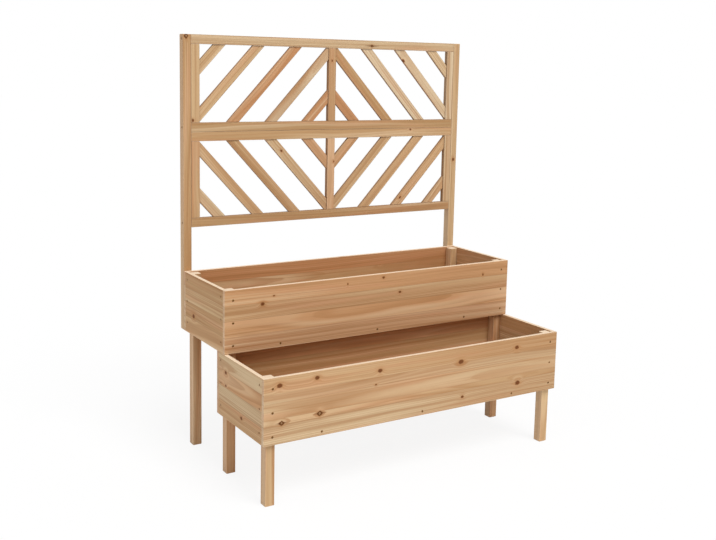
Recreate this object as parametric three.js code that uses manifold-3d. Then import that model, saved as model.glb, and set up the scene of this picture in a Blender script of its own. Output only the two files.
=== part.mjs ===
// A two-tier wooden planter with a trellis. Two long boxes stand one behind the other like steps, on six
// legs that run up inside their corners, and two posts behind the upper box carry a pair of slatted frames.
// Millimetres. X runs along the boxes, Y from front to back, Z up. The origin is at floor level, under the
// middle of the whole planter.
import * as THREE from 'three';
import { mergeVertices } from 'three/addons/utils/BufferGeometryUtils.js';
import Module from 'manifold-3d';

const wasm = await Module();
wasm.setup();

// ---- driving dimensions ----
const boxWidth = 1100; // over the ends of the front and back panels
const lowerBoxDepth = 324; // outside, front to back
const upperBoxDepth = 324;
const lowerBoxHeight = 198;
const upperBoxHeight = 198;
const floorClearance = 188; // from the ground to the lower box's underside
const panelThickness = 13;

const legSize = 30; // square section
const legBelowRim = 3; // the legs stop this far under the rim

const battenHeight = 24; // bearers across each box, under its floor
const battenWidth = 30;
const battenInset = 190; // from the box's end to the outer battens' middle
const floorBoardThickness = 9;
const floorBoardsPerBox = 3;
const drainGap = 8; // between two floor boards

const trellisGap = 143; // open height between the upper box's rim and the lower frame
const postWidth = 28; // along X
const postDepth = 28; // along Y
const frameHeight = 311; // one slatted frame, over its rails
const frameThickness = 16;
const railHeight = 30;
const stileWidth = 29;
const slatWidth = 32;
const slatThickness = 10;
const slatAngle = THREE.MathUtils.degToRad(47); // from the horizontal
const slatsPerSide = 5; // on each side of a frame's centre stile

const shankRadius = 1.75; // of the countersunk wood screws
const headRadius = 3.6;
const headHeight = 2.4; // of the head's cone
const headRecess = 0.4; // heads sit this far under the wood's surface
const shortScrew = 34; // through a panel into a leg or a batten
const longScrew = 58; // through a post or a rail
const screwFacets = 6;
const topScrewDrop = 32; // from the rim to the top screw of a corner
const bottomScrewRise = 24; // from the panel's lower edge to the bottom screw
const screwStagger = 9; // a side panel's screws pass this far above the front panel's
const crossScrewOffset = 2.7; // screws that cross inside a rail pass on either side of its middle
const postScrewMargin = 50; // from the upper box's edges to the two screws of a post

const fit = 0.3; // gap between pieces that touch
const screwClearance = 0.35; // around a screw

// ---- places worked out from them ----
const tierOverlap = 2 * panelThickness + legSize + 2 * fit; // both boxes hold the middle legs
const totalDepth = lowerBoxDepth - tierOverlap + upperBoxDepth + fit + postDepth;
const halfWidth = boxWidth / 2;
const lowerBox = {
  name: 'lower',
  front: -totalDepth / 2,
  depth: lowerBoxDepth,
  bottom: floorClearance,
  height: lowerBoxHeight,
};
const upperBox = {
  name: 'upper',
  front: lowerBox.front + lowerBoxDepth - tierOverlap,
  depth: upperBoxDepth,
  bottom: floorClearance + lowerBoxHeight + fit,
  height: upperBoxHeight,
};
for (const box of [lowerBox, upperBox]) {
  box.back = box.front + box.depth;
  box.rim = box.bottom + box.height;
}
const lowerFrameBottom = upperBox.rim + trellisGap;
const upperFrameBottom = lowerFrameBottom + frameHeight + fit;
const trellisTop = upperFrameBottom + frameHeight;
const postFront = upperBox.back + fit;
const postInnerFace = halfWidth - postWidth;
const frameHalfWidth = postInnerFace - fit;
const legOuterFace = halfWidth - panelThickness - fit;
const legMiddleX = legOuterFace - legSize / 2;
const battenPlaces = [-(halfWidth - battenInset), 0, halfWidth - battenInset];

const woodMaterial = (color) => new THREE.MeshStandardMaterial({ color, roughness: 0.72, metalness: 0 });
const panelColour = 0xd9b485;
const legColour = 0xc99f70;
const floorColour = 0xcaa679;
const trellisColour = 0xd4ab7b;

// ---- solids ----
const toSolid = (geometry) => {
  const plain = geometry.clone();
  plain.deleteAttribute('normal');
  plain.deleteAttribute('uv');
  const merged = mergeVertices(plain);
  const vertProperties = new Float32Array(merged.attributes.position.array);
  const triVerts = new Uint32Array(merged.index.array);
  return new wasm.Manifold(new wasm.Mesh({ numProp: 3, vertProperties, triVerts }));
};

const toGeometry = (solid) => {
  const mesh = solid.getMesh();
  const geometry = new THREE.BufferGeometry();
  geometry.setAttribute('position', new THREE.BufferAttribute(mesh.vertProperties, 3));
  geometry.setIndex(new THREE.BufferAttribute(mesh.triVerts, 1));
  return geometry;
};

// A block with its lowest corner at its own origin.
const block = (x, y, z) => new THREE.BoxGeometry(x, y, z).translate(x / 2, y / 2, z / 2);

// A piece is a shape and the place of its own origin. Pieces are cut for the screws before they are placed.
const piece = (name, geometry, x, y, z, color) => ({
  name,
  geometry,
  place: new THREE.Vector3(x, y, z),
  color,
});

// ---- screw holes, with a countersink at the surface ----
const upright = new THREE.Vector3(0, 1, 0);

// Turns a shape drawn below its origin along Y so that it goes into the wood from the surface point.
const drivenFrom = (geometry, screw) => {
  const turn = new THREE.Quaternion().setFromUnitVectors(upright, screw.outward);
  return geometry.applyQuaternion(turn).translate(screw.at.x, screw.at.y, screw.at.z);
};

const screwHole = (screw) => {
  const shank = shankRadius + screwClearance;
  const head = headRadius + screwClearance;
  const profile = [
    new THREE.Vector2(0, -screw.length - screwClearance),
    new THREE.Vector2(shank, -screw.length - screwClearance),
    new THREE.Vector2(shank, -headRecess - headHeight),
    new THREE.Vector2(head, -headRecess),
    new THREE.Vector2(head, fit / 2),
    new THREE.Vector2(0, fit / 2),
  ];
  return drivenFrom(new THREE.LatheGeometry(profile, screwFacets), screw);
};

const screwAt = (x, y, z, outward, length) => ({
  at: new THREE.Vector3(x, y, z),
  outward: new THREE.Vector3(...outward),
  length,
});

const toFront = [0, -1, 0];
const toBack = [0, 1, 0];
const toLeft = [-1, 0, 0];
const toRight = [1, 0, 0];
const toTop = [0, 0, 1];
const toGround = [0, 0, -1];

// ---- boxes ----
// Front and back panels run the full width. The side panels butt between them.
const boxPanels = (box) => {
  const sideDepth = box.depth - 2 * (panelThickness + fit);
  const sideFront = box.front + panelThickness + fit;
  const backFace = box.back - panelThickness;
  const rightFace = halfWidth - panelThickness;
  const longPanel = () => block(boxWidth, panelThickness, box.height);
  const sidePanel = () => block(panelThickness, sideDepth, box.height);
  return [
    piece(`${box.name}_front_panel`, longPanel(), -halfWidth, box.front, box.bottom, panelColour),
    piece(`${box.name}_back_panel`, longPanel(), -halfWidth, backFace, box.bottom, panelColour),
    piece(`${box.name}_left_panel`, sidePanel(), -halfWidth, sideFront, box.bottom, panelColour),
    piece(`${box.name}_right_panel`, sidePanel(), rightFace, sideFront, box.bottom, panelColour),
  ];
};

const boxBattens = (box) => {
  const length = box.depth - 2 * (panelThickness + fit);
  const front = box.front + panelThickness + fit;
  return battenPlaces.map((middle, i) => piece(
    `${box.name}_floor_batten_${i + 1}`,
    block(battenWidth, length, battenHeight),
    middle - battenWidth / 2,
    front,
    box.bottom,
    floorColour,
  ));
};

// The floor boards run along the box. Those beside a panel are notched around the legs.
const boxFloor = (box, legs) => {
  const length = boxWidth - 2 * (panelThickness + fit);
  const room = box.depth - 2 * (panelThickness + fit);
  const width = (room - (floorBoardsPerBox - 1) * drainGap) / floorBoardsPerBox;
  const left = -length / 2;
  const top = box.bottom + battenHeight + fit;
  const boards = [];
  for (let i = 0; i < floorBoardsPerBox; i += 1) {
    const front = box.front + panelThickness + fit + i * (width + drainGap);
    let board = toSolid(block(length, width, floorBoardThickness));
    for (const leg of legs) {
      const notch = block(legSize + 2 * fit, legSize + 2 * fit, 3 * floorBoardThickness);
      notch.translate(leg.x - fit - left, leg.y - fit - front, -floorBoardThickness);
      board = board.subtract(toSolid(notch));
    }
    boards.push(piece(`${box.name}_floor_board_${i + 1}`, toGeometry(board), left, front, top, floorColour));
  }
  return boards;
};

// ---- legs ----
// Each pair stands inside the corners of a box. The middle pair stands in the lower box's back corners
// and runs on up inside the upper box's front corners.
const legRows = [
  { name: 'front', y: lowerBox.front + panelThickness + fit, top: lowerBox.rim - legBelowRim },
  { name: 'middle', y: upperBox.front + panelThickness + fit, top: upperBox.rim - legBelowRim },
  { name: 'rear', y: upperBox.back - panelThickness - fit - legSize, top: upperBox.rim - legBelowRim },
];
const legSides = [
  { name: 'left', x: -legOuterFace },
  { name: 'right', x: legOuterFace - legSize },
];
const legPlaces = legRows.flatMap((row) => legSides.map((side) => ({
  name: `${row.name}_${side.name}_leg`,
  x: side.x,
  y: row.y,
  top: row.top,
})));
const legPieces = legPlaces.map((leg) => (
  piece(leg.name, block(legSize, legSize, leg.top), leg.x, leg.y, 0, legColour)
));

// ---- trellis ----
const postPieces = () => {
  const height = trellisTop - upperBox.bottom;
  const post = () => block(postWidth, postDepth, height);
  return [
    piece('left_trellis_post', post(), -halfWidth, postFront, upperBox.bottom, trellisColour),
    piece('right_trellis_post', post(), postInnerFace, postFront, upperBox.bottom, trellisColour),
  ];
};

// Keeps the part of a flat outline that lies on the inner side of one straight edge.
const clipOutline = (outline, inside) => {
  const kept = [];
  outline.forEach((point, i) => {
    const next = outline[(i + 1) % outline.length];
    const here = inside(point);
    const there = inside(next);
    if (here >= 0) kept.push(point);
    if (here >= 0 !== there >= 0) kept.push(point.clone().lerp(next, here / (here - there)));
  });
  return kept;
};

// One slat of a frame's right half, drawn from the frame's middle line and its inner lower edge. Its own
// middle line leaves the upper edge at the offset given and slopes down and outwards.
const slatOutline = (offset, opening) => {
  const along = new THREE.Vector2(Math.cos(slatAngle), -Math.sin(slatAngle));
  const across = new THREE.Vector2(Math.sin(slatAngle), Math.cos(slatAngle)).multiplyScalar(slatWidth / 2);
  const reach = opening.outer + opening.height;
  const start = new THREE.Vector2(offset, opening.height).addScaledVector(along, -reach);
  const end = new THREE.Vector2(offset, opening.height).addScaledVector(along, 2 * reach);
  let outline = [
    start.clone().sub(across),
    end.clone().sub(across),
    end.clone().add(across),
    start.clone().add(across),
  ];
  outline = clipOutline(outline, (p) => p.x - opening.inner - fit);
  outline = clipOutline(outline, (p) => opening.outer - fit - p.x);
  outline = clipOutline(outline, (p) => p.y - fit);
  outline = clipOutline(outline, (p) => opening.height - fit - p.y);
  return outline;
};

// Draws an outline of the right half on either side and either way up, in the frame's own X and Z.
const slatSolid = (outline, side, flipped, height) => {
  const points = outline.map((p) => new THREE.Vector2(side * p.x, flipped ? height - p.y : p.y));
  const shape = new THREE.Shape(points);
  const slat = new THREE.ExtrudeGeometry(shape, { depth: slatThickness, bevelEnabled: false });
  return slat.rotateX(Math.PI / 2).translate(0, slatThickness, 0);
};

// The rails run between the posts. The stiles stand between the rails, and the slats are let in between
// them all. The upper frame's slats fall outwards and the lower frame's fall inwards.
const framePieces = (name, bottom, flipped) => {
  const openingHeight = frameHeight - 2 * railHeight;
  const openingBottom = bottom + railHeight;
  const upperRailBottom = bottom + frameHeight - railHeight;
  const stileHeight = openingHeight - 2 * fit;
  const rail = () => block(2 * frameHalfWidth, frameThickness, railHeight);
  const stile = () => block(stileWidth, frameThickness, stileHeight);
  const stileBottom = openingBottom + fit;
  const rightStile = frameHalfWidth - stileWidth;
  const pieces = [
    piece(`${name}_top_rail`, rail(), -frameHalfWidth, postFront, upperRailBottom, trellisColour),
    piece(`${name}_bottom_rail`, rail(), -frameHalfWidth, postFront, bottom, trellisColour),
    piece(`${name}_left_stile`, stile(), -frameHalfWidth, postFront, stileBottom, trellisColour),
    piece(`${name}_centre_stile`, stile(), -stileWidth / 2, postFront, stileBottom, trellisColour),
    piece(`${name}_right_stile`, stile(), rightStile, postFront, stileBottom, trellisColour),
  ];
  const opening = { inner: stileWidth / 2, outer: rightStile, height: openingHeight };
  const pitch = opening.outer / (slatsPerSide - 1.5); // the last slat stands half a pitch from the corner
  const slatFront = postFront + (frameThickness - slatThickness) / 2;
  for (const side of [-1, 1]) {
    for (let i = 0; i < slatsPerSide; i += 1) {
      const outline = slatOutline((i - 1) * pitch, opening);
      if (outline.length < 3) continue; // it would pass outside the opening
      const geometry = slatSolid(outline, side, flipped, openingHeight);
      const label = `${name}_${side < 0 ? 'left' : 'right'}_slat_${i + 1}`;
      pieces.push(piece(label, geometry, 0, slatFront, openingBottom, trellisColour));
    }
  }
  return pieces;
};

// ---- where the screws go ----
// Three screws hold each end of a panel to its leg.
const cornerHeights = (box) => [
  box.bottom + bottomScrewRise,
  (box.bottom + bottomScrewRise + box.rim - topScrewDrop) / 2,
  box.rim - topScrewDrop,
];

const panelScrews = (box, frontLegY, backLegY, backScrewX) => {
  const screws = [];
  const legMiddle = legSize / 2;
  for (const height of cornerHeights(box)) {
    for (const side of [-1, 1]) {
      const sideways = side < 0 ? toLeft : toRight;
      const sideHeight = height + screwStagger;
      screws.push(
        screwAt(side * legMiddleX, box.front, height, toFront, shortScrew),
        screwAt(side * backScrewX, box.back, height, toBack, shortScrew),
        screwAt(side * halfWidth, frontLegY + legMiddle, sideHeight, sideways, shortScrew),
        screwAt(side * halfWidth, backLegY + legMiddle, sideHeight, sideways, shortScrew),
      );
    }
  }
  for (const middle of battenPlaces) {
    const height = box.bottom + battenHeight / 2;
    screws.push(
      screwAt(middle, box.front, height, toFront, shortScrew),
      screwAt(middle, box.back, height, toBack, shortScrew),
    );
  }
  return screws;
};

const [frontLegs, middleLegs, rearLegs] = legRows;
const rearScrewX = (postInnerFace + legOuterFace - legSize) / 2; // beside the post, still over the leg
const boxScrews = [
  ...panelScrews(lowerBox, frontLegs.y, middleLegs.y, legMiddleX),
  ...panelScrews(upperBox, middleLegs.y, rearLegs.y, rearScrewX),
];

// Long screws hold the posts to the rear legs from behind, the frames to the posts from the sides, and
// the rails to the ends of the stiles.
const trellisScrews = () => {
  const screws = [];
  const postBack = postFront + postDepth;
  const overLeg = (postInnerFace + legOuterFace) / 2;
  const frameMiddle = postFront + frameThickness / 2;
  const postScrewHeights = [
    upperBox.bottom + postScrewMargin,
    upperBox.rim - postScrewMargin,
  ];
  const heldRails = [
    trellisTop - railHeight / 2,
    upperFrameBottom + railHeight / 2,
    lowerFrameBottom + railHeight / 2,
  ];
  for (const side of [-1, 1]) {
    for (const height of postScrewHeights) {
      screws.push(screwAt(side * overLeg, postBack, height, toBack, longScrew));
    }
    for (const height of heldRails) {
      const sideways = side < 0 ? toLeft : toRight;
      screws.push(screwAt(side * halfWidth, frameMiddle + crossScrewOffset, height, sideways, longScrew));
    }
  }
  const stileMiddle = frameHalfWidth - stileWidth / 2;
  for (const x of [-stileMiddle, 0, stileMiddle]) {
    for (const bottom of [upperFrameBottom, lowerFrameBottom]) {
      const y = frameMiddle - crossScrewOffset;
      screws.push(
        screwAt(x, y, bottom + frameHeight, toTop, longScrew),
        screwAt(x, y, bottom, toGround, longScrew),
      );
    }
  }
  return screws;
};

// ---- assembly ----
const holes = [...boxScrews, ...trellisScrews()].map((screw) => {
  const geometry = screwHole(screw);
  geometry.computeBoundingBox();
  return geometry;
});

const cutForScrews = ({ geometry, place }) => {
  geometry.computeBoundingBox();
  const reach = geometry.boundingBox.clone().translate(place);
  const crossing = holes.filter((hole) => hole.boundingBox.intersectsBox(reach));
  if (crossing.length === 0) return geometry;
  const solid = crossing.reduce((wood, hole) => {
    const tool = hole.clone().translate(-place.x, -place.y, -place.z);
    return wood.subtract(toSolid(tool));
  }, toSolid(geometry));
  return toGeometry(solid);
};

const groupOf = (name, pieces) => {
  const group = new THREE.Group();
  group.name = name;
  for (const part of pieces) {
    const mesh = new THREE.Mesh(cutForScrews(part), woodMaterial(part.color));
    mesh.name = part.name;
    mesh.position.copy(part.place);
    group.add(mesh);
  }
  return group;
};

const planter = new THREE.Group();
planter.name = 'planter_with_trellis';
for (const box of [lowerBox, upperBox]) {
  const pieces = [...boxPanels(box), ...boxBattens(box), ...boxFloor(box, legPlaces)];
  planter.add(groupOf(`${box.name}_box`, pieces));
}
planter.add(groupOf('legs', legPieces));
planter.add(groupOf('trellis_posts', postPieces()));
planter.add(groupOf('upper_frame', framePieces('upper_frame', upperFrameBottom, false)));
planter.add(groupOf('lower_frame', framePieces('lower_frame', lowerFrameBottom, true)));

export default planter;
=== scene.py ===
from math import cos, pi, radians, sin
from random import Random

import bmesh
import bpy
from mathutils import Matrix, Vector


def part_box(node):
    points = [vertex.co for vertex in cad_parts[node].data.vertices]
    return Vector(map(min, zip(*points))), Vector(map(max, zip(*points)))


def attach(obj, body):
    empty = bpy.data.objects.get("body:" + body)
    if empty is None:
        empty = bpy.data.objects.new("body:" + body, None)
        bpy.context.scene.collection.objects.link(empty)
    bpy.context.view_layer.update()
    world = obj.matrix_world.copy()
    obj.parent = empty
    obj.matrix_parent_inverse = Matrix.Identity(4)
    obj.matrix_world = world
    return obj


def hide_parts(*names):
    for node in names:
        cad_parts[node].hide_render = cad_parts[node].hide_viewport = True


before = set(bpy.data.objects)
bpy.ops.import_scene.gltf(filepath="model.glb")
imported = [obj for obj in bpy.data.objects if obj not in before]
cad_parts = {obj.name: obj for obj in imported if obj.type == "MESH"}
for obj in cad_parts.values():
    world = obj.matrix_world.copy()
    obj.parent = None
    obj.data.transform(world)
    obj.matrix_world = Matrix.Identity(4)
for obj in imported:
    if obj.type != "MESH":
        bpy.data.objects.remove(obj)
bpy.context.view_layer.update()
scene = bpy.context.scene
scene.view_settings.view_transform = "Standard"
millimetre = 0.001
print("frame loaded")


# camera
view = {
    "place": (-1.744, -2.712, 1.262),
    "turn": 31.85,  # degrees to the right of straight ahead
    "down": 8.31,
    "roll": 1.2,
    "imageWidth": 716,
    "focalPixels": 989.6,
    "lift": 60,  # pixels by which the picture hangs below the lens axis
}


def makeCamera():
    camera = bpy.data.objects.new("camera", bpy.data.cameras.new("camera"))
    camera.data.sensor_width = 36
    camera.data.lens = view["focalPixels"] / view["imageWidth"] * camera.data.sensor_width
    camera.data.shift_y = -view["lift"] / view["imageWidth"]
    turned = Matrix.Rotation(-radians(view["turn"]), 4, "Z")
    tilted = Matrix.Rotation(pi / 2 - radians(view["down"]), 4, "X")
    rolled = Matrix.Rotation(radians(view["roll"]), 4, "Z")
    camera.matrix_world = Matrix.Translation(view["place"]) @ turned @ tilted @ rolled
    scene.collection.objects.link(camera)
    scene.camera = camera


makeCamera()
print("camera set")


# finishes
def shown(red, green, blue):
    # a display colour of 0 to 255 as the linear colour that a shader takes
    def linear(value):
        part = value / 255
        return part / 12.92 if part <= 0.04045 else ((part + 0.055) / 1.055) ** 2.4
    return (linear(red), linear(green), linear(blue), 1)


class Finish:
    # one material, with short ways to add its nodes and join them
    def __init__(self, name):
        self.material = bpy.data.materials.new(name)
        self.material.use_nodes = True
        self.tree = self.material.node_tree
        self.shader = self.tree.nodes["Principled BSDF"]

    def join(self, socket, value):
        if isinstance(value, bpy.types.NodeSocket):
            self.tree.links.new(value, socket)
        else:
            socket.default_value = value

    def add(self, kind, links=None, **settings):
        node = self.tree.nodes.new(kind)
        for key, value in settings.items():
            setattr(node, key, value)
        for socket, value in (links or {}).items():
            self.join(node.inputs[socket], value)
        return node

    def math(self, operation, *values):
        return self.add("ShaderNodeMath", dict(enumerate(values)), operation=operation).outputs[0]

    def vector(self, operation, *values):
        node = self.add("ShaderNodeVectorMath", operation=operation)
        sockets = (0, 3) if operation == "SCALE" else range(3)
        for socket, value in zip(sockets, values):
            self.join(node.inputs[socket], value)
        return node.outputs["Value" if operation == "LENGTH" else "Vector"]

    def combine(self, x, y, z=0.0):
        return self.add("ShaderNodeCombineXYZ", {"X": x, "Y": y, "Z": z}).outputs[0]

    def split(self, value):
        return self.add("ShaderNodeSeparateXYZ", {"Vector": value}).outputs[:]

    def attribute(self, name, output="Fac"):
        return self.add("ShaderNodeAttribute", attribute_name=name).outputs[output]

    def stretched(self, place, along, across, detail=2.0, roughness=0.5):
        # noise drawn out along the grain; the two counts are waves to a metre
        scaled = self.vector("MULTIPLY", place, (along, across, across))
        links = {"Vector": scaled, "Scale": 1.0, "Detail": detail, "Roughness": roughness}
        return self.add("ShaderNodeTexNoise", links).outputs["Fac"]

    def chance(self, value):
        return self.add("ShaderNodeTexWhiteNoise", {"W": value}, noise_dimensions="1D").outputs

    def span(self, value, low, high, toLow=0.0, toHigh=1.0):
        links = {"Value": value, "From Min": low, "From Max": high, "To Min": toLow, "To Max": toHigh}
        return self.add("ShaderNodeMapRange", links).outputs["Result"]

    def ease(self, value, low, high, toLow=0.0, toHigh=1.0):
        links = {"Value": value, "From Min": low, "From Max": high, "To Min": toLow, "To Max": toHigh}
        node = self.add("ShaderNodeMapRange", links, interpolation_type="SMOOTHSTEP")
        return node.outputs["Result"]

    def bell(self, value, width):
        squared = self.math("POWER", self.math("DIVIDE", value, width), 2.0)
        return self.math("EXPONENT", self.math("MULTIPLY", squared, -1.0))

    def mix(self, factor, first, second, blend="MIX"):
        node = self.add("ShaderNodeMix", data_type="RGBA", blend_type=blend)
        self.join(node.inputs["Factor"], factor)
        self.join(node.inputs[6], first)
        self.join(node.inputs[7], second)
        return node.outputs[2]


woodTones = {  # planed faces, by the kind of stick or strip
    "pale": (213, 190, 156),
    "cream": (208, 181, 143),
    "straw": (203, 171, 129),
    "tan": (198, 161, 119),
    "rose": (200, 157, 118),
    "rust": (191, 138, 95),
    "fawn": (186, 149, 106),
    "amber": (199, 152, 108),
    # a darker tone for the upper middle rail, partly painted shade from leaves that are not built
    "hazel": (177, 142, 100),
}
commonTones = ("cream", "straw", "tan", "rose", "rust", "fawn", "amber")  # of strips with none of their own
fir = {  # the colours that lie over a board's own tone
    "late": shown(166, 116, 70),
    "streak": shown(160, 112, 68),
    "heart": shown(192, 143, 101),
    "blush": shown(204, 148, 110),
    "knotCore": shown(98, 46, 8),
    "knotRim": shown(98, 54, 12),
    "knotPale": shown(218, 182, 134),
    "halo": shown(176, 114, 60),
    # painted shade for the trellis sticks' narrow faces and the posts' side edges
    "sawnEdge": shown(128, 88, 54),
    # a pale colour: painted light on upward faces and left sides, and partly pale cut wood on ends and
    # eased edges
    "freshCut": shown(240, 219, 192),
    "paleBand": shown(230, 206, 170),
    "glueLine": shown(150, 110, 72),
}
waves = {  # to a metre, along the grain and across it, then detail and roughness where they are set
    "ragged": (220, 260),
    "sway": (1.1, 4.5, 2.0, 0.4),
    "ripple": (11, 80),
    "patches": (1.6, 26),
    "heart": (0.7, 13, 2.0),
    "blush": (2.2, 34),
    "fibre": (8, 800, 3.0, 0.6),
    "streak": (1.2, 150, 3.0, 0.6),
    "pores": (45, 1500, 1.0),
    "sawMarks": (30, 160, 3.0, 0.6),
}
onset = {  # the noise at which a layer starts and is full, then its strength at both where they are set
    "patches": (0.3, 0.7, 0.45, 1.0),
    "heart": (0.50, 0.66),
    "blush": (0.50, 0.68, 0.0, 0.40),
    "darkBands": (0.48, 0.72, 0.0, 0.62),
    "paleBands": (0.50, 0.28, 0.0, 0.40),
    "streak": (0.54, 0.74),
    "pores": (0.66, 0.76),
    "sawMarks": (0.25, 0.75, 0.75, 1.0),
    "darkerEnd": (-0.25, 0.35),  # metres along the board instead of noise
}
lightness = {  # the range of its source, and how light the wood is at both ends of it
    "fibre": (0.25, 0.75, 0.93, 1.06),
    "board": (0, 1, 0.96, 1.03),
}
luckOf = {  # what a board's seed is multiplied by for each thing that is drawn from it
    "chances": 17.17,
    "place": 9.0,
    "years": 3.1,
    "bands": 5.3,
}
shares = {  # how much of a layer's colour shows, of 1
    "leastHeart": 0.1,
    "mostHeart": 0.6,
    "late": 0.5,
    "lateOnCuts": 0.25,
    "streak": 0.62,
    "pores": 0.16,
    "seam": 0.55,
    "halo": 0.55,
    "knotRings": 0.18,
    "core": 0.94,
    "crack": 0.9,
}
rings = {
    "narrow": 0.0031,  # metres to a year
    "wide": 0.0060,
    "lateStart": 0.2,  # parts of a year
    "lateFull": 0.86,
    "lateEnd": 0.93,
    "faintYear": 0.35,
    "pithAside": 0.075,
    "pithNear": 0.018,
    "pithFar": 0.11,
    "sway": 0.042,
    "ripple": 0.0012,
    "toKnotRings": 700,  # knot rings to a metre
    "bandsAcross": 85,
    "bandsAlong": 0.8,
}
strayKnot = {
    "cellsAlong": 2.6,  # to a metre
    "cellsAcross": 11.0,
    "alongUnit": 3.6,  # more than cellsAlong, so that they come out longer than wide
    "scatter": 0.75,
    "smallest": 0.0016,
    "largest": 0.0052,
    "ragged": 0.9,
    "pull": 1.8,
    "pullReach": 2.4,  # this and the next four in knot radii
    "coreEdge": (1.25, 0.75),
    "rimAt": 0.95,
    "rimWidth": 0.28,
    "haloReach": 2.1,
    "rim": 0.7,
}
knotShape = {  # reaches, edges and widths are in knot radii
    "squeeze": 0.75,
    "square": 0.45,
    "ragged": 0.7,
    "pull": 2.0,
    "openPull": 0.7,
    "pullReach": 2.6,
    "coreEdge": (1.35, 0.7),
    "hollowEdge": (0.68, 0.35),
    "haloReach": 2.0,
    "rim": 0.4,
    "rimAt": 0.9,
    "rimWidth": 0.34,
    "openRimWidth": 0.42,
    "crackWidth": 0.0019,  # metres, as is the next
    "crackEnd": 0.004,
}
surface = {
    "smoothest": 0.60,
    "roughest": 0.76,
    "lateShine": 0.08,
    "specular": 0.22,
    "fibre": 0.55,  # depth of each layer in the relief
    "late": 0.5,
    "pores": 0.5,
    "rim": 0.8,
    "seam": 0.4,
    "crack": 1.5,
    "seamWidth": 0.012,  # of a strip's height
    "bump": 0.45,
    "bumpDepth": 0.0005,
}


def layer(f, own, name):
    return f.ease(f.stretched(own, *waves[name]), *onset[name])


def ragged(f, own, amount):
    return f.math("MULTIPLY", f.math("SUBTRACT", f.stretched(own, *waves["ragged"]), 0.5), amount)


def strayKnots(f, own, share):
    # pin knots, one to a cell at most
    s = strayKnot
    cells = f.vector("MULTIPLY", own, (s["cellsAlong"], s["cellsAcross"], 0.0))
    links = {"Vector": cells, "Scale": 1.0, "Randomness": s["scatter"]}
    dots = f.add("ShaderNodeTexVoronoi", links, voronoi_dimensions="2D").outputs
    offAlong, offAcross = f.split(f.vector("SUBTRACT", cells, dots["Position"]))[:2]
    pick, size = f.split(dots["Color"])[:2]
    wanted = f.math("LESS_THAN", pick, share)
    radius = f.span(size, 0.0, 1.0, s["smallest"], s["largest"])
    offAlong = f.math("DIVIDE", offAlong, s["alongUnit"])
    away = f.combine(offAlong, f.math("DIVIDE", offAcross, s["cellsAcross"]))
    reach = f.math("DIVIDE", f.vector("LENGTH", away), radius)
    reach = f.math("ADD", reach, ragged(f, own, s["ragged"]))
    pull = f.math("MULTIPLY", f.bell(reach, s["pullReach"]), radius)
    outline = f.bell(f.math("SUBTRACT", reach, s["rimAt"]), s["rimWidth"])
    return {
        "pull": f.math("MULTIPLY", pull, f.math("MULTIPLY", wanted, s["pull"])),
        "core": f.math("MULTIPLY", f.ease(reach, *s["coreEdge"]), wanted),
        "rim": f.math("MULTIPLY", outline, f.math("MULTIPLY", wanted, s["rim"])),
        "halo": f.math("MULTIPLY", f.bell(reach, s["haloReach"]), wanted),
        "hollow": 0.0,
        "crack": 0.0,
    }


def knotReach(f, own, along, across, knot):
    # how far a place is from one knot, in radii, with a ragged outline; open knots are nearly square
    squeeze = knot.get("squeeze", knotShape["squeeze"])
    offAlong = f.math("MULTIPLY", f.math("SUBTRACT", along, knot["along"]), squeeze)
    offAcross = f.math("SUBTRACT", across, knot["across"])
    away = f.vector("LENGTH", f.combine(offAlong, offAcross))
    if "open" in knot:
        square = f.math("ADD", f.math("ABSOLUTE", offAlong), f.math("ABSOLUTE", offAcross))
        away = f.math("MULTIPLY", f.math("ADD", away, square), knotShape["square"])
    return f.math("ADD", f.math("DIVIDE", away, knot["radius"]), ragged(f, own, knotShape["ragged"]))


def addKnot(f, marks, own, along, across, knot):
    # lays one more knot over the marks of those before it
    k = knotShape
    isOpen = "open" in knot
    reach = knotReach(f, own, along, across, knot)
    outline = f.bell(f.math("SUBTRACT", reach, k["rimAt"]), k["openRimWidth" if isOpen else "rimWidth"])
    outline = f.math("MULTIPLY", outline, knot.get("rim", k["rim"]))
    swerve = knot["radius"] * k["openPull" if isOpen else "pull"]
    pull = f.math("MULTIPLY", f.bell(reach, k["pullReach"]), swerve)
    marks["pull"] = f.math("ADD", marks["pull"], pull)
    marks["core"] = f.math("MAXIMUM", marks["core"], f.ease(reach, *k["coreEdge"]))
    marks["rim"] = f.math("MAXIMUM", marks["rim"], outline)
    marks["halo"] = f.math("MAXIMUM", marks["halo"], f.bell(reach, k["haloReach"]))
    if isOpen:
        side = f.math("ABSOLUTE", f.math("SUBTRACT", along, knot["along"]))
        line = f.bell(f.math("SUBTRACT", across, knot["across"]), k["crackWidth"])
        line = f.math("MULTIPLY", line, f.ease(side, knot["open"], k["crackEnd"]))
        marks["crack"] = f.math("MAXIMUM", marks["crack"], line)
        marks["hollow"] = f.math("MAXIMUM", marks["hollow"], f.ease(reach, *k["hollowEdge"]))


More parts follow.
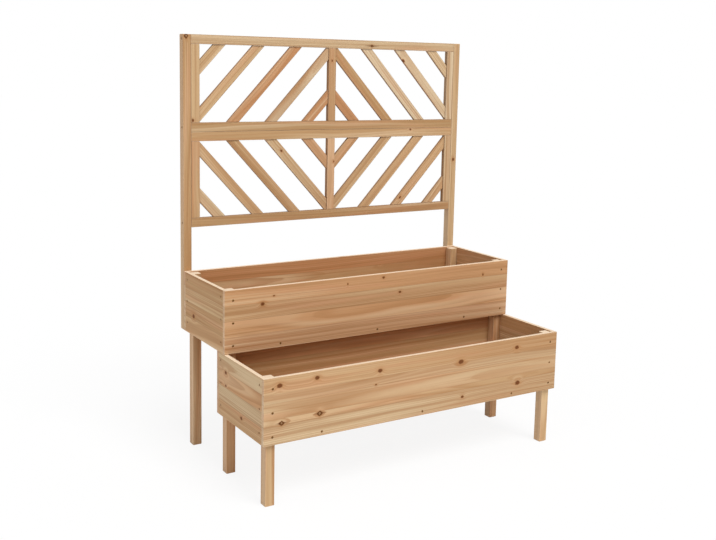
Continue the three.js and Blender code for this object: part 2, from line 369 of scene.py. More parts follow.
def growthRings(f, own, across, depth, seed, chances, pull):
    # rings about a pith that lies somewhere behind the face, pulled aside by the knots
    luckX, luckY, luckZ = chances
    sway = f.math("MULTIPLY", f.stretched(own, *waves["sway"]), rings["sway"])
    ripple = f.math("MULTIPLY", f.stretched(own, *waves["ripple"]), rings["ripple"])
    fromPith = f.combine(
        f.math("SUBTRACT", across, f.span(luckX, 0, 1, -rings["pithAside"], rings["pithAside"])),
        f.math("ADD", depth, f.span(luckY, 0, 1, rings["pithNear"], rings["pithFar"])),
    )
    age = f.math("ADD", f.vector("LENGTH", fromPith), f.math("ADD", sway, ripple))
    age = f.math("SUBTRACT", age, pull)
    years = f.math("DIVIDE", age, f.span(luckZ, 0, 1, rings["narrow"], rings["wide"]))
    season = f.math("FRACT", years)
    rise = f.ease(season, rings["lateStart"], rings["lateFull"])
    late = f.math("MULTIPLY", rise, f.ease(season, 1.0, rings["lateEnd"]))
    yearSeed = f.math("ADD", f.math("FLOOR", years), f.math("MULTIPLY", seed, luckOf["years"]))
    yearLuck = f.chance(yearSeed)["Value"]
    late = f.math("MULTIPLY", late, f.span(yearLuck, 0, 1, rings["faintYear"], 1.0))
    return age, f.math("MULTIPLY", late, layer(f, own, "patches"))


def woodFinish(name, knots=(), strayShare=0.3):
    # Every timber carries its own grain coordinates, so one recipe serves them all.
    f = Finish(name)
    place = f.attribute("grainPlace", "Vector")
    along, across, depth = f.split(place)
    seed = f.attribute("boardSeed")
    drawn = f.chance(f.math("MULTIPLY", seed, luckOf["chances"]))
    chances = f.split(drawn["Color"])
    own = f.vector("ADD", place, f.vector("SCALE", drawn["Color"], luckOf["place"]))
    marks = strayKnots(f, own, strayShare)
    for knot in knots:
        addKnot(f, marks, own, along, across, knot)
    age, late = growthRings(f, own, across, depth, seed, chances, marks["pull"])

    def painted(under, amount, share, over):
        return f.mix(f.math("MULTIPLY", amount, share), under, fir[over])

    # slow changes of tone follow the rings too, so streaks run true to the grain
    bandPlace = f.combine(
        f.math("MULTIPLY", age, rings["bandsAcross"]),
        f.math("MULTIPLY", along, rings["bandsAlong"]),
        f.math("MULTIPLY", seed, luckOf["bands"]),
    )
    bands = f.add("ShaderNodeTexNoise", {"Vector": bandPlace, "Scale": 1.0, "Detail": 3.0}).outputs["Fac"]
    fibre = f.stretched(own, *waves["fibre"])
    pores = layer(f, own, "pores")
    heartShare = f.span(drawn["Value"], 0, 1, shares["leastHeart"], shares["mostHeart"])
    colour = painted(f.attribute("boardTone", "Color"), layer(f, own, "heart"), heartShare, "heart")
    colour = f.mix(layer(f, own, "blush"), colour, fir["blush"])
    colour = f.mix(f.ease(bands, *onset["darkBands"]), colour, fir["streak"])
    colour = f.mix(f.ease(bands, *onset["paleBands"]), colour, fir["paleBand"])
    colour = painted(colour, late, shares["late"], "late")
    colour = painted(colour, layer(f, own, "streak"), shares["streak"], "streak")
    colour = painted(colour, pores, shares["pores"], "late")
    colour = painted(colour, f.ease(along, *onset["darkerEnd"]), f.attribute("darkerEnd"), "late")

    # painted shade on the trellis sticks' narrow faces and the posts' side edges, mottled by noise; upward
    # faces, ends, eased edges and the legs' and posts' left faces get a pale colour that is partly painted
    # light
    colour = painted(colour, f.attribute("sawnDark"), layer(f, own, "sawMarks"), "sawnEdge")
    # the pale colour: painted light from above on tops and rims and from the left on legs and posts, and
    # partly pale cut wood elsewhere
    colour = f.mix(f.attribute("freshCut"), colour, fir["freshCut"])
    colour = painted(colour, late, shares["lateOnCuts"], "late")
    stripShare = f.attribute("stripShare")
    toSeam = f.math("MINIMUM", stripShare, f.math("SUBTRACT", 1.0, stripShare))
    seam = f.bell(toSeam, surface["seamWidth"])
    colour = painted(colour, seam, shares["seam"], "glueLine")

    # knots: an orange halo, a dark ringed core that is pale where it is open, and a dark outline
    colour = painted(colour, marks["halo"], shares["halo"], "halo")
    knotRings = f.math("FRACT", f.math("MULTIPLY", age, rings["toKnotRings"]))
    core = painted(fir["knotCore"], knotRings, shares["knotRings"], "halo")
    core = f.mix(marks["hollow"], core, fir["knotPale"])
    colour = f.mix(f.math("MULTIPLY", marks["core"], shares["core"]), colour, core)
    colour = painted(colour, marks["rim"], f.math("SUBTRACT", 1.0, marks["hollow"]), "knotRim")
    colour = painted(colour, marks["crack"], shares["crack"], "knotRim")

    level = f.math("MULTIPLY", f.span(fibre, *lightness["fibre"]), f.span(chances[1], *lightness["board"]))
    colour = f.mix(1.0, colour, f.combine(level, level, level), "MULTIPLY")
    f.join(f.shader.inputs["Base Color"], colour)

    matt = f.span(fibre, 0.2, 0.8, surface["smoothest"], surface["roughest"])
    matt = f.math("SUBTRACT", matt, f.math("MULTIPLY", late, surface["lateShine"]))
    f.join(f.shader.inputs["Roughness"], matt)
    f.shader.inputs["Specular IOR Level"].default_value = surface["specular"]

    def deep(amount, depthName):
        return f.math("MULTIPLY", amount, surface[depthName])

    relief = f.math("ADD", deep(fibre, "fibre"), deep(late, "late"))
    relief = f.math("SUBTRACT", relief, f.math("ADD", deep(pores, "pores"), deep(marks["rim"], "rim")))
    relief = f.math("SUBTRACT", relief, f.math("ADD", deep(seam, "seam"), deep(marks["crack"], "crack")))
    links = {"Strength": surface["bump"], "Distance": surface["bumpDepth"], "Height": relief}
    f.join(f.shader.inputs["Normal"], f.add("ShaderNodeBump", links).outputs[0])
    return f.material


steel = {
    "mottle": 700.0,  # spots to a metre, nearly
    "scuffs": 2600.0,
    "metal": 0.9,
    "tones": (0.35, 0.65),  # the mottle between which the colour and the dullness change
    "dulls": (0.3, 0.7),
    "dullerSpots": 0.2,
    "bump": 0.2,
    "bumpDepth": 0.0001,
}


def steelFinish(name, dark, light, shine):
    f = Finish(name)
    place = f.add("ShaderNodeTexCoord").outputs["Object"]
    links = {"Vector": place, "Scale": steel["mottle"], "Detail": 3.0}
    mottle = f.add("ShaderNodeTexNoise", links).outputs["Fac"]
    links = {"Vector": place, "Scale": steel["scuffs"], "Detail": 2.0}
    scuff = f.add("ShaderNodeTexNoise", links).outputs["Fac"]
    colour = f.mix(f.span(mottle, *steel["tones"]), shown(*dark), shown(*light))
    f.join(f.shader.inputs["Base Color"], colour)
    matt = f.span(mottle, *steel["dulls"], shine, shine + steel["dullerSpots"])
    f.join(f.shader.inputs["Roughness"], matt)
    f.shader.inputs["Metallic"].default_value = steel["metal"]
    links = {"Strength": steel["bump"], "Distance": steel["bumpDepth"], "Height": scuff}
    f.join(f.shader.inputs["Normal"], f.add("ShaderNodeBump", links).outputs[0])
    return f.material


# Knots that catch the eye, in metres from the middle of their board. The open ones have a pale heart in
# a dark outline, and a fine crack that runs out along the grain on both sides.
lowerFrontKnots = [
    {"along": -0.500, "across": 0.074, "radius": 0.0058},
    {"along": -0.378, "across": 0.079, "radius": 0.0052},
    {"along": -0.161, "across": 0.068, "radius": 0.0053},
    {"along": -0.175, "across": 0.027, "radius": 0.0021},
    {"along": 0.145, "across": 0.052, "radius": 0.0066},
    {"along": 0.375, "across": 0.068, "radius": 0.0054},
    {"along": 0.384, "across": -0.054, "radius": 0.0064},
    {"along": 0.155, "across": -0.065, "radius": 0.0038},
    {"along": -0.493, "across": -0.038, "radius": 0.0050, "open": 0.024, "rim": 1.3},
    {"along": -0.368, "across": -0.030, "radius": 0.0056, "open": 0.028, "rim": 1.3},
]
lowerLeftKnots = [
    {"along": 0.096, "across": 0.047, "radius": 0.0048},
    {"along": 0.096, "across": 0.006, "radius": 0.0034},
    {"along": -0.015, "across": -0.061, "radius": 0.0046},
]
upperFrontKnots = [
    {"along": -0.423, "across": 0.046, "radius": 0.0046},
    {"along": 0.438, "across": 0.057, "radius": 0.0040, "squeeze": 1.4},
    {"along": 0.086, "across": 0.031, "radius": 0.0034},
    {"along": -0.118, "across": 0.078, "radius": 0.0032, "squeeze": 1.6},
]
upperLeftKnots = [{"along": 0.080, "across": -0.034, "radius": 0.0060}]
leftPostKnots = [{"along": 0.476, "across": -0.003, "radius": 0.0050, "open": 0.005, "rim": 1.3}]
leftStileKnots = [{"along": -0.118, "across": -0.009, "radius": 0.0034}]
centreStileKnots = [{"along": 0.082, "across": -0.002, "radius": 0.0026}]
middleRailKnots = [{"along": 0.335, "across": 0.010, "radius": 0.0030}]
rightSlatKnots = [{"along": -0.117, "across": -0.0025, "radius": 0.0034, "squeeze": 0.55}]
topRailKnots = [{"along": 0.160, "across": -0.004, "radius": 0.0034, "open": 0.040, "rim": 1.2}]

plainWood = woodFinish("firPlain")
heroWoods = {
    "lower_front_panel": woodFinish("firLowerFront", lowerFrontKnots, 0.03),
    "lower_left_panel": woodFinish("firLowerLeft", lowerLeftKnots, 0.05),
    "upper_front_panel": woodFinish("firUpperFront", upperFrontKnots, 0.15),
    "upper_left_panel": woodFinish("firUpperLeft", upperLeftKnots, 0.05),
    "left_trellis_post": woodFinish("firLeftPost", leftPostKnots, 0.2),
    "upper_frame_top_rail": woodFinish("firTopRail", topRailKnots, 0.0),
    "lower_frame_top_rail": woodFinish("firMiddleRail", middleRailKnots, 0.0),
    "upper_frame_right_slat_4": woodFinish("firRightSlat", rightSlatKnots, 0.0),
    "upper_frame_left_stile": woodFinish("firLeftStile", leftStileKnots, 0.0),
    "upper_frame_centre_stile": woodFinish("firCentreStile", centreStileKnots, 0.0),
}
bronzedSteel = steelFinish("bronzedSteel", (104, 72, 36), (158, 116, 66), 0.4)
brightSteel = steelFinish("brightSteel", (120, 118, 114), (164, 162, 158), 0.3)
print("finishes made")


# screws: where they go follows from the timbers that they hold
screw = {
    "headRadius": 3.6 * millimetre,
    "headHeight": 2.4 * millimetre,  # of its cone
    "headRim": 0.25 * millimetre,
    "recess": 0.4 * millimetre,  # heads sit this far under the wood
    "shankRadius": 1.75 * millimetre,
    "coreRadius": 1.15 * millimetre,
    "threadPitch": 2.2 * millimetre,
    "threadShare": 0.62,  # of the length
    "tip": 4 * millimetre,
    "short": 34 * millimetre,
    "long": 58 * millimetre,
    "clearance": 0.35 * millimetre,
    "sides": 24,
    "slotWidth": 0.95 * millimetre,
    "slotReach": 2.1 * millimetre,
    "slotDepth": 1.5 * millimetre,
    "slotTaper": 0.35,  # how wide the foot of the slot is, of its reach
    "threadRoot": 0.1 * millimetre,  # inside the core
    "threadCrest": 0.15 * millimetre,  # outside the shank
    "threadHalf": 0.35 * millimetre,
    "stepsToTurn": 12,
    "holeMouth": 0.15 * millimetre,  # holes are cut from this far above the wood
}
screwPlaces = {
    "topDrop": 32 * millimetre,
    "bottomRise": 24 * millimetre,
    "stagger": 9 * millimetre,  # side screws pass this far above the front ones
    "crossing": 2.7 * millimetre,
    "postMargin": 50 * millimetre,
}


def low(name):
    return Vector(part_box(name)[0])


def high(name):
    return Vector(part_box(name)[1])


def middle(name):
    return (low(name) + high(name)) / 2


def sideways(name):
    # how far the two sides of a piece are from the middle plane, the nearer first
    return sorted((abs(low(name).x), abs(high(name).x)))


def cornerScrews(box, frontLeg, backLeg):
    found = []
    front = f"{box}_front_panel"
    back = f"{box}_back_panel"
    bottom = low(front).z + screwPlaces["bottomRise"]
    top = high(front).z - screwPlaces["topDrop"]
    for height in (bottom, (bottom + top) / 2, top):
        for side, turn in (("left", -1), ("right", 1)):
            legX = middle(f"{frontLeg}_{side}_leg").x
            backX = middle(f"{backLeg}_{side}_leg").x
            if backLeg == "rear":  # beside the post
                postReach = sideways(f"{side}_trellis_post")
                legReach = sideways(f"rear_{side}_leg")
                backX = turn * (postReach[0] + legReach[0]) / 2
            found.append((Vector((legX, low(front).y, height)), Vector((0, -1, 0)), screw["short"]))
            found.append((Vector((backX, high(back).y, height)), Vector((0, 1, 0)), screw["short"]))
            for leg in (frontLeg, backLeg):
                y = middle(f"{leg}_{side}_leg").y
                at = Vector((turn * high(front).x, y, height + screwPlaces["stagger"]))
                found.append((at, Vector((turn, 0, 0)), screw["short"]))
    return found


def battenScrews(box):
    found = []
    for number in (1, 2, 3):
        batten = middle(f"{box}_floor_batten_{number}")
        front = low(f"{box}_front_panel").y
        back = high(f"{box}_back_panel").y
        found.append((Vector((batten.x, front, batten.z)), Vector((0, -1, 0)), screw["short"]))
        found.append((Vector((batten.x, back, batten.z)), Vector((0, 1, 0)), screw["short"]))
    return found


def postScrews():
    found = []
    rails = ("upper_frame_top_rail", "upper_frame_bottom_rail", "lower_frame_bottom_rail")
    for side, turn in (("left", -1), ("right", 1)):
        post = f"{side}_trellis_post"
        inner = sideways(post)[0]
        legOuter = sideways(f"rear_{side}_leg")[1]
        panel = "upper_back_panel"
        margin = screwPlaces["postMargin"]
        for height in (low(panel).z + margin, high(panel).z - margin):
            at = Vector((turn * (inner + legOuter) / 2, high(post).y, height))
            found.append((at, Vector((0, 1, 0)), screw["long"]))
        for rail in rails:
            y = middle(rail).y + screwPlaces["crossing"]
            at = Vector((turn * high(panel).x, y, middle(rail).z))
            found.append((at, Vector((turn, 0, 0)), screw["long"]))
    return found


def railScrews():
    found = []
    for frameName in ("upper_frame", "lower_frame"):
        top = high(f"{frameName}_top_rail").z
        bottom = low(f"{frameName}_bottom_rail").z
        y = middle(f"{frameName}_top_rail").y - screwPlaces["crossing"]
        for stile in ("left", "centre", "right"):
            x = middle(f"{frameName}_{stile}_stile").x
            found.append((Vector((x, y, top)), Vector((0, 0, 1)), screw["long"]))
            found.append((Vector((x, y, bottom)), Vector((0, 0, -1)), screw["long"]))
    return found


screwGroups = {
    "lowerCornerScrews": cornerScrews("lower", "front", "middle"),
    "upperCornerScrews": cornerScrews("upper", "middle", "rear"),
    "lowerBattenScrews": battenScrews("lower"),
    "upperBattenScrews": battenScrews("upper"),
    "postScrews": postScrews(),
    "railScrews": railScrews(),
}
allScrews = [place for group in screwGroups.values() for place in group]


def spun(profile, steps):
    # turns an open line of (radius, height) points about Z into a closed solid
    bm = bmesh.new()
    verts = [bm.verts.new((radius, 0, height)) for radius, height in profile]
    edges = [bm.edges.new(pair) for pair in zip(verts, verts[1:])]
    bmesh.ops.spin(
        bm, geom=verts + edges, cent=(0, 0, 0), axis=(0, 0, 1), dvec=(0, 0, 0),
        angle=2 * pi, steps=steps, use_merge=True, use_duplicate=False,
    )
    bmesh.ops.remove_doubles(bm, verts=bm.verts, dist=0.001 * millimetre)
    bmesh.ops.recalc_face_normals(bm, faces=bm.faces)
    return bm


def addCopy(target, source, matrix):
    mesh = bpy.data.meshes.new("copy")
    source.to_mesh(mesh)
    mesh.transform(matrix)
    target.from_mesh(mesh)
    bpy.data.meshes.remove(mesh)


def drivenTo(at, outward):
    turn = Vector((0, 0, 1)).rotation_difference(outward)
    return Matrix.Translation(at) @ turn.to_matrix().to_4x4()


def holeShape(length):
    shank = screw["shankRadius"] + screw["clearance"]
    head = screw["headRadius"] + screw["clearance"]
    above = screw["holeMouth"]
    profile = [
        (0, above), (head, above), (head, -screw["recess"]),
        (shank, -screw["recess"] - screw["headHeight"]),
        (shank, -length - screw["clearance"]), (0, -length - screw["clearance"]),
    ]
    return spun(profile, screw["sides"])


holeShapes = {length: holeShape(length) for length in (screw["short"], screw["long"])}


def newObject(name, bm):
    mesh = bpy.data.meshes.new(name)
    bm.to_mesh(mesh)
    bm.free()
    made = bpy.data.objects.new(name, mesh)
    scene.collection.objects.link(made)
    return made


def cutBy(solid, cutter):
    # takes one bmesh out of the other and gives back what is left
    wood = newObject("wood", solid)
    tool = newObject("tool", cutter)
    cut = wood.modifiers.new("cut", "BOOLEAN")
    cut.operation = "DIFFERENCE"
    cut.solver = "EXACT"
    cut.object = tool
    left = bpy.data.meshes.new_from_object(wood.evaluated_get(bpy.context.evaluated_depsgraph_get()))
    bm = bmesh.new()
    bm.from_mesh(left)
    for used in (wood, tool):
        oldMesh = used.data
        bpy.data.objects.remove(used)
        bpy.data.meshes.remove(oldMesh)
    bpy.data.meshes.remove(left)
    return bm


# timber
timber = {
    "panelEdge": 1.1 * millimetre,
    "legEdge": 1.8 * millimetre,
    "frameEdge": 1.2 * millimetre,
    "slatEdge": 1.0 * millimetre,
    "floorEdge": 0.8 * millimetre,
    "edgeSteps": 3,
    "shapedEdgeSteps": 2,
}
panelStrips = {  # glued strips from the lower edge up: share of the height and tone
    "lower_front_panel": [
        (0.29, "cream"), (0.09, "straw"), (0.24, "cream"), (0.13, "cream"), (0.25, "tan"),
    ],
    "lower_left_panel": [(0.27, "tan"), (0.23, "cream"), (0.26, "amber"), (0.24, "cream")],
    "upper_front_panel": [(0.26, "rose"), (0.25, "amber"), (0.24, "tan"), (0.25, "amber")],
    "upper_left_panel": [(0.27, "tan"), (0.26, "fawn"), (0.22, "straw"), (0.25, "fawn")],
}
boardSeeds = {"upper_front_panel": 71.3}  # picked for their figure
darkerEnds = {"lower_front_panel": 0.38}  # how much deeper the right-hand end is, of 1
stickTones = {
    "left_trellis_post": "fawn",
    "right_trellis_post": "straw",
    "front_left_leg": "straw",
    "front_right_leg": "straw",
    "middle_left_leg": "amber",
    "upper_frame_top_rail": "cream",
    # the middle rails' darker tones, hazel and fawn, are partly painted shade from leaves that are not
    # built
    "upper_frame_bottom_rail": "hazel",
    "lower_frame_top_rail": "fawn",
    "upper_frame_left_stile": "straw",
    "upper_frame_centre_stile": "tan",
    "upper_frame_right_stile": "pale",
    "upper_frame_left_slat_1": "rust",
    "upper_frame_left_slat_2": "pale",
    "upper_frame_left_slat_3": "rust",
    "upper_frame_left_slat_4": "straw",
    "upper_frame_left_slat_5": "straw",
    "upper_frame_right_slat_1": "rust",
    "upper_frame_right_slat_2": "fawn",
    "upper_frame_right_slat_3": "pale",
    "upper_frame_right_slat_4": "pale",
    "upper_frame_right_slat_5": "cream",
}
shadeAndPaleShares = {  # how much of the painted shade or of the pale colour a face has, of 1; the pale colour is partly painted light
    "narrowFrameFace": 0.8,
    "frameBevel": 0.7,
    "legSide": 0.25,
    "topEnd": 0.9,
    "otherEnd": 0.28,
    "easedEdge": 0.15,
}
facingLimit = {"flat": 0.85, "slanted": 0.3, "planed": 0.97}  # cosines between a face and an axis
figure = {"firstSeed": 1.0, "boardStep": 0.731, "stripStep": 0.137}  # every strip has its own grain
folds = {  # degrees between two faces
    "flat": 1,  # flatter edges are taken out
    "eased": 30,  # sharper edges are eased
    "woodSharp": 50,  # sharper edges stay sharp in the shading
    "metalSharp": 35,
}
commonStrips = {"count": 4, "least": 0.22, "spread": 0.06}  # of panels that aren't in panelStrips
axes = (Vector((1, 0, 0)), Vector((0, 1, 0)), Vector((0, 0, 1)))


def boxAxes(name):
    # grain runs along the longest side, and the thinnest side is the board's depth
    size = high(name) - low(name)
    along = max(range(3), key=lambda i: size[i])
    depth = min((1, 0, 2), key=lambda i: (round(size[i], 4), i != 1) if i != along else (9, True))
    across = 3 - along - depth
    return axes[along], axes[across], axes[depth]


def slatAxes(name):
    bm = mergedCopy(name)
    longest = max(bm.edges, key=lambda e: e.calc_length())
    along = (longest.verts[1].co - longest.verts[0].co).normalized()
    bm.free()
    if along.x < 0:
        along = -along
    return along, axes[1].cross(along).normalized(), axes[1]


def mergedCopy(name):
    bm = bmesh.new()
    bm.from_mesh(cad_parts[name].data)
    bmesh.ops.remove_doubles(bm, verts=bm.verts, dist=0.01 * millimetre)
    bmesh.ops.dissolve_limit(bm, angle_limit=radians(folds["flat"]), verts=bm.verts, edges=bm.edges)
    return bm


def easeEdges(bm, edges, size, steps):
    bmesh.ops.bevel(
        bm, geom=edges, offset=size, affect="EDGES", segments=steps, profile=0.5,
        clamp_overlap=True, material=-1,
    )


def plainTimber(name, edge):
    bm = bmesh.new()
    bmesh.ops.create_cube(bm, size=1)
    bmesh.ops.scale(bm, vec=high(name) - low(name), verts=bm.verts)
    bmesh.ops.translate(bm, vec=middle(name), verts=bm.verts)
    easeEdges(bm, list(bm.edges), edge, timber["edgeSteps"])
    return bm


def shapedTimber(name, edge):
    # slats and notched boards start from a merged copy of the solid itself
    bm = mergedCopy(name)
    sharp = [e for e in bm.edges if e.is_convex and e.calc_face_angle(0) > radians(folds["eased"])]
    easeEdges(bm, sharp, edge, timber["shapedEdgeSteps"])
    return bm


def drilled(name, bm):
    lowest = low(name)
    highest = high(name)
    cutters = bmesh.new()
    for at, outward, length in allScrews:
        tip = at - outward * length
        crosses = all(
            min(at[i], tip[i]) < highest[i] + millimetre and max(at[i], tip[i]) > lowest[i] - millimetre
            for i in range(3)
        )
        if crosses:
            addCopy(cutters, holeShapes[length], drivenTo(at, outward))
    if not cutters.verts:
        cutters.free()
        return bm
    return cutBy(bm, cutters)


def stripEdges(name, across):
    # where the glued strips of a panel meet, along its own height
    bottom = low(name).dot(across)
    height = high(name).dot(across) - bottom
    edges = [bottom]
    for share, tone in panelStrips[name]:
        edges.append(edges[-1] + share * height)
    return edges


def dressTimber(name, bm, grain, tones, edges, seed):
    # writes the grain's own coordinates and tones onto a board, and which faces get painted shade or the
    # pale colour that is partly painted light
    along, across, depth = grain
    centre = middle(name)
    placeLayer = bm.verts.layers.float_vector.new("grainPlace")
    seedLayer = bm.faces.layers.float.new("boardSeed")
    toneLayer = bm.faces.layers.float_color.new("boardTone")
    paleLayer = bm.faces.layers.float.new("freshCut")
    darkerLayer = bm.faces.layers.float.new("darkerEnd")
    narrowShadeLayer = bm.faces.layers.float.new("sawnDark")
    shareLayer = bm.loops.layers.float.new("stripShare")
    for vert in bm.verts:
        away = vert.co - centre
        vert[placeLayer] = (away.dot(along), away.dot(across), away.dot(depth))
    for face in bm.faces:
        face.smooth = True
        height = face.calc_center_median().dot(across)
        strip = 0
        if edges:
            strip = max(i for i, edge in enumerate(edges[:-1]) if i == 0 or height > edge)
        face[seedLayer] = seed + figure["stripStep"] * strip
        face[darkerLayer] = darkerEnds.get(name, 0.0)
        face[toneLayer] = shown(*woodTones[tones[strip]])
        facing = [abs(face.normal.dot(axis)) for axis in grain]
        flat = facingLimit["flat"]
        # painted shade: dark narrow faces on the frames, dark side edges on the posts
        if ("_frame_" in name or "_post" in name) and facing[1] > facingLimit["slanted"]:
            onFace = shadeAndPaleShares["narrowFrameFace"] if "_frame_" in name else 0
            face[narrowShadeLayer] = onFace if facing[1] > flat else shadeAndPaleShares["frameBevel"]
        # painted light: the legs' and posts' left faces are made paler
        if name.endswith(("_leg", "_post")) and face.normal.x < -flat:
            face[paleLayer] = shadeAndPaleShares["legSide"]
        # upward ends and rims are painted pale as light from above; other ends and eased edges get a little
        # of the pale colour
        if facing[0] > flat or (edges and facing[1] > flat):
            face[paleLayer] = shadeAndPaleShares["topEnd" if face.normal.z > flat else "otherEnd"]
        elif max(facing) < facingLimit["planed"]:
            face[paleLayer] = shadeAndPaleShares["easedEdge"]
        for loop in face.loops:
            # how far up its strip a corner is; 0.5, as in the middle, keeps the glue line away
            loop[shareLayer] = 0.5
            if edges:
                reach = (loop.vert.co.dot(across) - edges[strip]) / (edges[strip + 1] - edges[strip])
                outermost = (strip == 0 and reach < 0.5) or (strip == len(edges) - 2 and reach > 0.5)
                loop[shareLayer] = 0.5 if outermost else reach
    for e in bm.edges:
        e.smooth = e.calc_face_angle(0) < radians(folds["woodSharp"])


def finishTimber(name, bm, wood):
    words = name.split("_")
    piece = newObject(words[0] + "".join(word.capitalize() for word in words[1:]), bm)
    piece.data.materials.append(wood)
    flat = piece.modifiers.new("flatFaces", "WEIGHTED_NORMAL")
    flat.keep_sharp = True
    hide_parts(name)
    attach(piece, "root")


def makePanel(name, seed, luck):
    grain = boxAxes(name)
    if name not in panelStrips:
        s = commonStrips
        heights = [s["least"] + s["spread"] * luck.random() for strip in range(s["count"] - 1)]
        heights.append(1 - sum(heights))
        panelStrips[name] = [(height, luck.choice(commonTones)) for height in heights]
    edges = stripEdges(name, grain[1])
    bm = plainTimber(name, timber["panelEdge"])
    for edge in edges[1:-1]:
        geometry = list(bm.verts) + list(bm.edges) + list(bm.faces)
        bmesh.ops.bisect_plane(bm, geom=geometry, plane_co=grain[1] * edge, plane_no=grain[1])
    bm = drilled(name, bm)
    dressTimber(name, bm, grain, [tone for share, tone in panelStrips[name]], edges, seed)
    finishTimber(name, bm, heroWoods.get(name, plainWood))


def makeStick(name, seed, luck):
    tone = luck.choice(("straw", "tan", "cream", "rose", "fawn"))
    tone = stickTones.get(name, tone)
    edge = timber["legEdge"] if name.endswith(("_leg", "_post")) else timber["frameEdge"]
    if "_floor_" in name:
        edge = timber["floorEdge"]
    if "_slat_" in name or "_floor_board_" in name:
        bm = shapedTimber(name, timber["slatEdge"] if "_slat_" in name else edge)
    else:
        bm = drilled(name, plainTimber(name, edge))
    grain = slatAxes(name) if "_slat_" in name else boxAxes(name)
    dressTimber(name, bm, grain, [tone], [], seed)
    finishTimber(name, bm, heroWoods.get(name, plainWood))


for number, name in enumerate(sorted(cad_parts)):
    luck = Random(number)
    makeBoard = makePanel if name.endswith("_panel") else makeStick
    seed = figure["firstSeed"] + number * figure["boardStep"]
    makeBoard(name, boardSeeds.get(name, seed), luck)
print("timber made")


# the screws themselves
def threadedScrew(length):
    s = screw
    threadTop = -length * (1 - s["threadShare"])
    body = spun([
        (0, -s["recess"]),
        (s["headRadius"] - s["headRim"], -s["recess"]),
        (s["headRadius"], -s["recess"] - s["headRim"]),
        (s["shankRadius"], -s["recess"] - s["headHeight"]),
        (s["shankRadius"], threadTop),
        (s["coreRadius"], threadTop - s["headRim"]),
        (s["coreRadius"], -length + s["tip"]),
        (0, -length),
    ], s["sides"])
    for turn in (0, pi / 2):
        wing = bmesh.new()
        bmesh.ops.create_cube(wing, size=1)
        size = (2 * s["slotReach"], s["slotWidth"], 2 * s["slotDepth"])
        bmesh.ops.scale(wing, vec=size, verts=wing.verts)
        for vert in wing.verts:
            if vert.co.z < 0:
                vert.co.x *= s["slotTaper"]
        placed = Matrix.Translation((0, 0, -s["recess"])) @ Matrix.Rotation(turn, 4, "Z")
        bmesh.ops.transform(wing, matrix=placed, verts=wing.verts)
        body = cutBy(body, wing)
    ridge = bmesh.new()
    root = s["coreRadius"] - s["threadRoot"]
    corners = [(root, s["threadHalf"]), (s["shankRadius"] + s["threadCrest"], 0), (root, -s["threadHalf"])]
    start = threadTop - s["threadPitch"]
    verts = [ridge.verts.new((radius, 0, start + rise)) for radius, rise in corners]
    face = ridge.faces.new(verts)
    turns = int((length * s["threadShare"] - s["tip"]) / s["threadPitch"]) - 1
    steps = s["stepsToTurn"]
    bmesh.ops.spin(
        ridge, geom=[face] + list(face.edges) + verts, cent=(0, 0, 0), axis=(0, 0, 1),
        dvec=(0, 0, -s["threadPitch"] / steps), angle=2 * pi * turns, steps=steps * turns, use_merge=False,
    )
    bmesh.ops.recalc_face_normals(ridge, faces=ridge.faces)
    addCopy(body, ridge, Matrix.Identity(4))
    ridge.free()
    return body


def finishMetal(name, bm, metal):
    for face in bm.faces:
        face.smooth = True
    for e in bm.edges:
        e.smooth = e.calc_face_angle(0) < radians(folds["metalSharp"])
    piece = newObject(name, bm)
    piece.data.materials.append(metal)
    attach(piece, "root")


def makeScrews():
    shapes = {length: threadedScrew(length) for length in (screw["short"], screw["long"])}
    luck = Random(5)
    for groupName, places in screwGroups.items():
        bm = bmesh.new()
        for at, outward, length in places:
            turned = Matrix.Rotation(luck.random() * pi, 4, "Z")
            addCopy(bm, shapes[length], drivenTo(at, outward) @ turned)
        finishMetal(groupName, bm, bronzedSteel)


makeScrews()
print("screws made")


# two flat-headed nails hold each floor board to each batten
nail = {
    "headRadius": 1.9 * millimetre,
    "headHeight": 0.5 * millimetre,
    "shankRadius": 0.8 * millimetre,
    "length": 24 * millimetre,
    "fromEdge": 18 * millimetre,
    "flatTop": 0.85,  # of the head's radius
    "underside": 0.95,
    "rimHeight": 0.5,  # of the head's height
    "point": 3,  # shank radii
    "sides": 16,
}


def makeNails(box):
    n = nail
    shape = spun([
        (0, n["headHeight"]),
        (n["headRadius"] * n["flatTop"], n["headHeight"]),
        (n["headRadius"], n["headHeight"] * n["rimHeight"]),
        (n["headRadius"] * n["underside"], 0),
        (n["shankRadius"], 0),
        (n["shankRadius"], -n["length"] + n["shankRadius"] * n["point"]),
        (0, -n["length"]),
    ], n["sides"])
    bm = bmesh.new()
    for board in (1, 2, 3):
        boardName = f"{box}_floor_board_{board}"
        for batten in (1, 2, 3):
            x = middle(f"{box}_floor_batten_{batten}").x
            for y in (low(boardName).y + n["fromEdge"], high(boardName).y - n["fromEdge"]):
                addCopy(bm, shape, Matrix.Translation((x, y, high(boardName).z)))
    shape.free()
    finishMetal(f"{box}FloorNails", bm, brightSteel)


for box in ("lower", "upper"):
    makeNails(box)
print("nails made")


# floor and light
studio = {
    "floorSize": 60.0,
    "floorColour": (0.93, 0.93, 0.93, 1),
    "floorWhite": 0.88,  # how far the seen floor is lifted to plain white; the rest keeps the shadow
    "floorMatt": 0.9,
    "sky": 0.40,
    "keyPower": 2.3,
    "keyTurn": 12,  # degrees to the right of the front
    "keyHeight": 57,
    "keySoftness": 32,
    "fillPower": 0.45,
    "fillTurn": -65,
    "fillHeight": 30,
    "fillSoftness": 60,
}


def seenStraightOrMirrored(f):
    rays = f.add("ShaderNodeLightPath").outputs
    mirrored = f.math("MAXIMUM", rays["Is Glossy Ray"], rays["Is Transmission Ray"])
    return f.math("MAXIMUM", rays["Is Camera Ray"], mirrored)


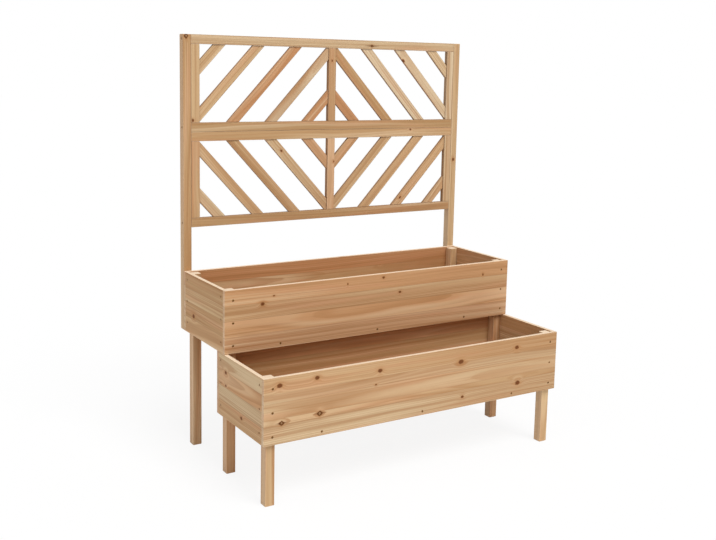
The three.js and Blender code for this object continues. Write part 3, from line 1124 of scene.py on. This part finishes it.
def makeFloor():
    bm = bmesh.new()
    bmesh.ops.create_grid(bm, x_segments=1, y_segments=1, size=studio["floorSize"] / 2)
    floorPiece = newObject("studioFloor", bm)
    f = Finish("paleFloor")
    f.shader.inputs["Base Color"].default_value = studio["floorColour"]
    f.shader.inputs["Roughness"].default_value = studio["floorMatt"]
    f.shader.inputs["Specular IOR Level"].default_value = 0.0
    white = f.add("ShaderNodeEmission", {"Color": (1, 1, 1, 1), "Strength": 1.0})
    seen = f.math("MULTIPLY", seenStraightOrMirrored(f), studio["floorWhite"])
    blend = f.add("ShaderNodeMixShader", {"Fac": seen, 1: f.shader.outputs[0], 2: white.outputs[0]})
    f.join(f.tree.nodes["Material Output"].inputs["Surface"], blend.outputs[0])
    floorPiece.data.materials.append(f.material)


def makeSky():
    world = bpy.data.worlds.new("paleStudio")
    world.use_nodes = True
    scene.world = world
    tree = world.node_tree
    rays = tree.nodes.new("ShaderNodeLightPath").outputs
    seen = rays["Is Camera Ray"]
    for kind in ("Is Glossy Ray", "Is Transmission Ray"):
        either = tree.nodes.new("ShaderNodeMath")
        either.operation = "MAXIMUM"
        tree.links.new(seen, either.inputs[0])
        tree.links.new(rays[kind], either.inputs[1])
        seen = either.outputs[0]
    strength = tree.nodes.new("ShaderNodeMapRange")
    tree.links.new(seen, strength.inputs["Value"])
    strength.inputs["To Min"].default_value = studio["sky"]
    strength.inputs["To Max"].default_value = 1.0
    background = tree.nodes["Background"]
    background.inputs["Color"].default_value = (1, 1, 1, 1)
    tree.links.new(strength.outputs["Result"], background.inputs["Strength"])


def makeSun(name, turn, height, softness, power):
    sun = bpy.data.lights.new(name, "SUN")
    sun.energy = power
    sun.angle = radians(softness)
    holder = bpy.data.objects.new(name, sun)
    level = cos(radians(height))
    towards = Vector((sin(radians(turn)) * level, -cos(radians(turn)) * level, sin(radians(height))))
    holder.rotation_euler = towards.to_track_quat("Z", "Y").to_euler()
    scene.collection.objects.link(holder)


makeFloor()
makeSky()
makeSun("keyLight", studio["keyTurn"], studio["keyHeight"], studio["keySoftness"], studio["keyPower"])
makeSun("fillLight", studio["fillTurn"], studio["fillHeight"], studio["fillSoftness"], studio["fillPower"])
print("studio made")
